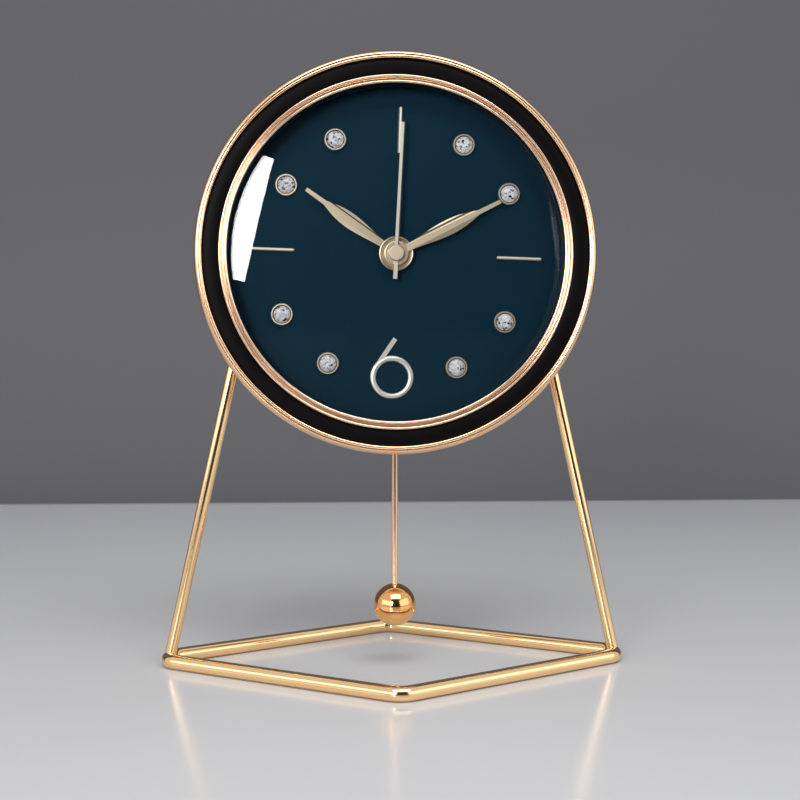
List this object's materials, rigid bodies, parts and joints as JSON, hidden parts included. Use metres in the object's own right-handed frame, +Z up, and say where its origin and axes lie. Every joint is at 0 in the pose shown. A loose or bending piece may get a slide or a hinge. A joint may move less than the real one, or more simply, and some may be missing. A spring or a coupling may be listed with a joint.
{
  "type": "desk pendulum clock",
  "caption": "Round table clock with a domed glass, dark dial and set crystals on a bent rod stand, with a ball pendulum swinging below the head.",
  "frame": {"origin": "on the floor, under the middle of the base, in the plane of the legs", "axes": "+X to the right as seen from the front, +Y to the rear, away from the dial, +Z up"},
  "size_m": [0.2424, 0.1536, 0.3146],
  "materials": {
    "stand_gold": "polished yellow gold plate",
    "case_gold": "polished rose gold plate",
    "black_lacquer": "glossy black lacquer",
    "glass": "clear, polished",
    "rubber": "matte",
    "dial_spacer": "matte dark blue",
    "dial_blue": "satin dark blue",
    "marker_gold": "polished rose gold",
    "crystal": "cut and polished",
    "hand_gold": "brushed champagne gold",
    "black_plastic": "fine matte",
    "steel": "nickel plated",
    "brass_fitting": "turned",
    "gear_plastic": "moulded, natural white",
    "magnet": "nickel plated magnet",
    "stator_iron": "punched sheet",
    "copper_wire": "enamelled copper winding",
    "board": "green board",
    "battery_wrap": "printed sleeve, plain",
    "bob_gold": "polished",
    "rod_copper": "polished"
  },
  "bodies": {
    "case_and_stand": {"base_frame": "stand_gold", "left_leg": "stand_gold", "right_leg": "stand_gold", "leg_screws": "steel", "outer_rim": "case_gold", "front_frame": "black_lacquer", "inner_ring": "case_gold", "glass": "glass", "glass_gasket": "rubber", "spacer_ring": "dial_spacer", "dial": "dial_blue", "retainer_ring": "black_plastic", "retainer_screws": "steel", "case_drum": "case_gold", "back_cover": "black_plastic", "cover_screws": "steel", "marker_12": "marker_gold", "marker_3": "marker_gold", "marker_9": "marker_gold", "numeral_6": "marker_gold", "crystal_cups": "marker_gold", "crystals": "crystal", "rubber_washer": "rubber", "brass_washer": "brass_fitting", "dial_nut": "brass_fitting", "stator": "stator_iron", "drive_coil": "copper_wire", "circuit_board": "board", "quartz_crystal": "steel", "movement_base": "black_plastic", "movement_lid": "black_plastic", "battery": "battery_wrap", "contact_positive": "steel", "contact_negative": "steel", "pendulum_housing": "black_plastic", "pendulum_pin": "steel", "pendulum_coil": "copper_wire"},
    "seconds": {"second_hand": "hand_gold", "second_wheel": "gear_plastic"},
    "minutes": {"minute_hand": "hand_gold", "centre_wheel": "gear_plastic"},
    "hours": {"hour_hand": "hand_gold", "hour_wheel": "gear_plastic"},
    "third": {"third_wheel": "gear_plastic"},
    "minute_gear": {"minute_wheel": "gear_plastic"},
    "setting": {"setting_knob": "gear_plastic"},
    "intermediate": {"intermediate_wheel": "gear_plastic"},
    "rotor_shaft": {"rotor": "magnet"},
    "pendulum": {"pendulum_arm": "gear_plastic", "pendulum_magnet": "magnet", "pendulum_rod": "rod_copper", "pendulum_bob": "bob_gold"}
  },
  "joints": [
    {"name": "seconds_turn", "type": "hinge", "parent": "case_and_stand", "child": "seconds", "pos_m": [0, -0.01605, 0.2134], "axis": [0, 1, 0], "continuous": true},
    {"name": "minutes_turn", "type": "hinge", "parent": "case_and_stand", "child": "minutes", "pos_m": [0, -0.02105, 0.2134], "axis": [0, 1, 0], "continuous": true},
    {"name": "hours_turn", "type": "hinge", "parent": "case_and_stand", "child": "hours", "pos_m": [0, -0.02305, 0.2134], "axis": [0, 1, 0], "continuous": true},
    {"name": "third_turn", "type": "hinge", "parent": "case_and_stand", "child": "third", "pos_m": [-0.0115, -0.01405, 0.21759], "axis": [0, 1, 0], "continuous": true},
    {"name": "minute_gear_turn", "type": "hinge", "parent": "case_and_stand", "child": "minute_gear", "pos_m": [0.00966, -0.01805, 0.21081], "axis": [0, 1, 0], "continuous": true},
    {"name": "setting_turn", "type": "hinge", "parent": "case_and_stand", "child": "setting", "pos_m": [0.01866, -0.01205, 0.2054], "axis": [0, 1, 0], "continuous": true},
    {"name": "intermediate_turn", "type": "hinge", "parent": "case_and_stand", "child": "intermediate", "pos_m": [0.00891, -0.01405, 0.22231], "axis": [0, 1, 0], "continuous": true},
    {"name": "rotor_turn", "type": "hinge", "parent": "case_and_stand", "child": "rotor_shaft", "pos_m": [-0.00311, -0.01405, 0.22716], "axis": [0, 1, 0], "continuous": true},
    {"name": "pendulum_swing", "type": "hinge", "parent": "case_and_stand", "child": "pendulum", "pos_m": [0, -0.01345, 0.1789], "axis": [0, 1, 0], "range_deg": [-8, 8]}
  ],
  "couplings": [
    {"joint": "minutes_turn", "follows": "seconds_turn", "ratio": 0.016667},
    {"joint": "hours_turn", "follows": "seconds_turn", "ratio": 0.0013889},
    {"joint": "third_turn", "follows": "seconds_turn", "ratio": -0.13333},
    {"joint": "minute_gear_turn", "follows": "seconds_turn", "ratio": -0.0055556},
    {"joint": "setting_turn", "follows": "seconds_turn", "ratio": 0.013889},
    {"joint": "intermediate_turn", "follows": "seconds_turn", "ratio": -6},
    {"joint": "rotor_turn", "follows": "seconds_turn", "ratio": 30}
  ]
}
